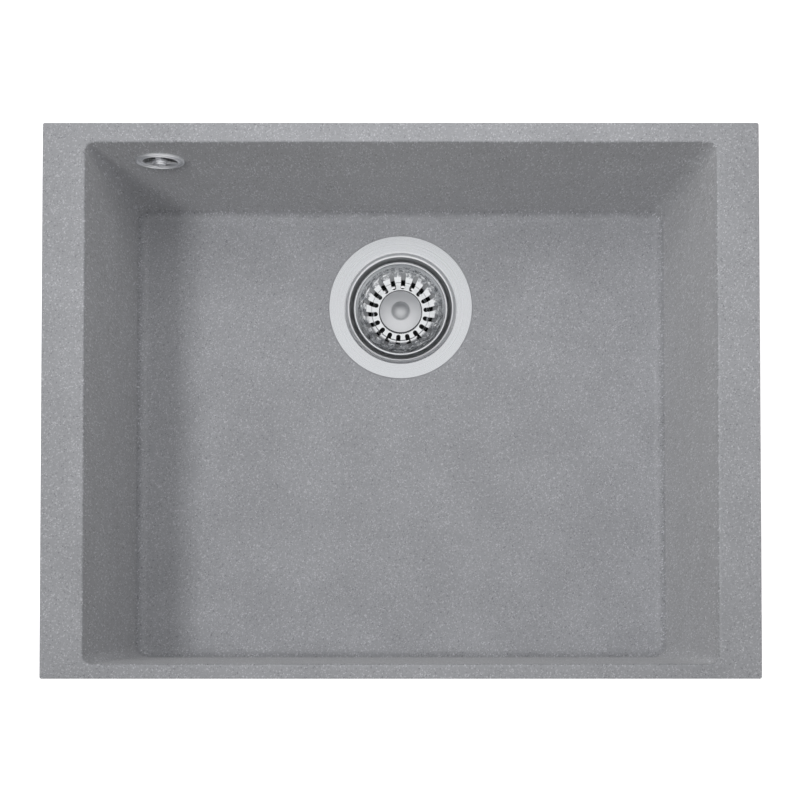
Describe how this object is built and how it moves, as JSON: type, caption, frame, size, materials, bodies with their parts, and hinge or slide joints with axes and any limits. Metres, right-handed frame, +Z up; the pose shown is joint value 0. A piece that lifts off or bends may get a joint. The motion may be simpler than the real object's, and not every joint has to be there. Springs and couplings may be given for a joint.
{
  "type": "kitchen sink",
  "caption": "Rectangular undermount kitchen sink bowl in stone composite with a lift-out basket strainer waste, a wall overflow and its pipe.",
  "frame": {"origin": "middle of the rim's outline, in the rim's top face that meets the underside of the worktop", "axes": "+Z up out of the bowl, +X along the longer side of the rim, +Y towards the back, where the waste and the overflow are"},
  "size_m": [0.495, 0.4105, 0.288],
  "materials": {
    "composite": "matt, finely speckled",
    "satin_steel": "satin",
    "polished_steel": "polished",
    "chromed_zinc": "polished",
    "brass": "machined",
    "polypropylene": "moulded",
    "rubber": "matt"
  },
  "bodies": {
    "sink": {"sink_bowl": "composite", "fixing_insert_1": "brass", "fixing_insert_2": "brass", "fixing_insert_3": "brass", "fixing_insert_4": "brass", "waste_cup": "satin_steel", "flange_gasket": "rubber", "body_gasket": "rubber", "waste_body": "polypropylene", "waste_outlet": "polypropylene", "clamp_screw": "polished_steel", "clamp_washer": "polished_steel", "clamp_insert": "brass", "overflow_rosette": "chromed_zinc", "overflow_screw": "chromed_zinc", "overflow_insert": "brass", "overflow_gasket": "rubber", "overflow_head": "polypropylene", "overflow_pipe": "polypropylene", "upper_pipe_seal": "rubber", "upper_pipe_nut": "polypropylene", "lower_pipe_seal": "rubber", "lower_pipe_nut": "polypropylene"},
    "plug": {"basket_stem": "polished_steel", "seal_plate": "polypropylene", "plug_seal": "rubber", "stem_nut": "polished_steel"},
    "basket": {"strainer_basket": "polished_steel", "basket_cap": "satin_steel", "basket_knob": "satin_steel"}
  },
  "joints": [
    {"name": "basket_lift", "type": "slide", "parent": "sink", "child": "plug", "axis": [0, 0, 1], "range_m": [0, 0.25]},
    {"name": "basket_turn", "type": "hinge", "parent": "plug", "child": "basket", "pos_m": [0, 0.1, -0.2], "axis": [0, 0, 1], "continuous": true}
  ]
}
